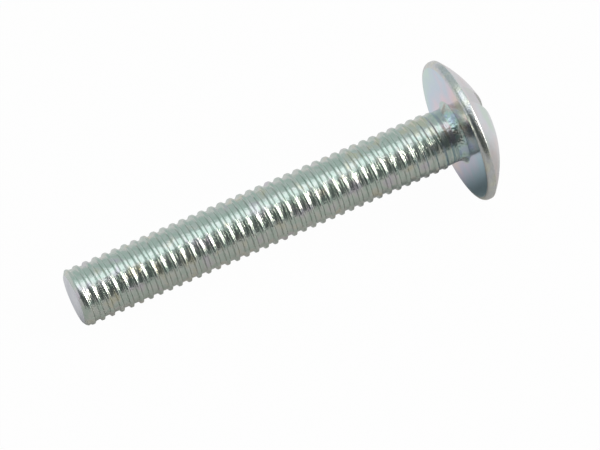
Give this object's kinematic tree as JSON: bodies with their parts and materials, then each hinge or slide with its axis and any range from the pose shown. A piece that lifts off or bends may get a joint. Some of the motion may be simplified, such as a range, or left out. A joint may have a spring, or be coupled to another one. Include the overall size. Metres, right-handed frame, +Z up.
{
  "type": "roofing bolt",
  "caption": "Slotted mushroom-head bolt, zinc plated, with a short plain neck and a coarse metric thread along the rest of its shank; it lies as it comes to rest.",
  "frame": {"origin": "on the ground under the middle of the lying bolt: centre of the bounding box in X and Y, lowest point in Z", "axes": "+X along the bolt from its tip to its head, +Z up; the bolt's own axis rises 6.16 degrees toward the head because the head's rim is wider than the shank"},
  "size_m": [0.0436, 0.0142, 0.0142],
  "materials": {
    "zinc_plated_steel": "bright zinc electroplate on cold-headed, thread-rolled low-carbon steel, pale grey-green with faint rainbow tints"
  },
  "bodies": {
    "root": {"bolt": "zinc_plated_steel"}
  },
  "joints": []
}
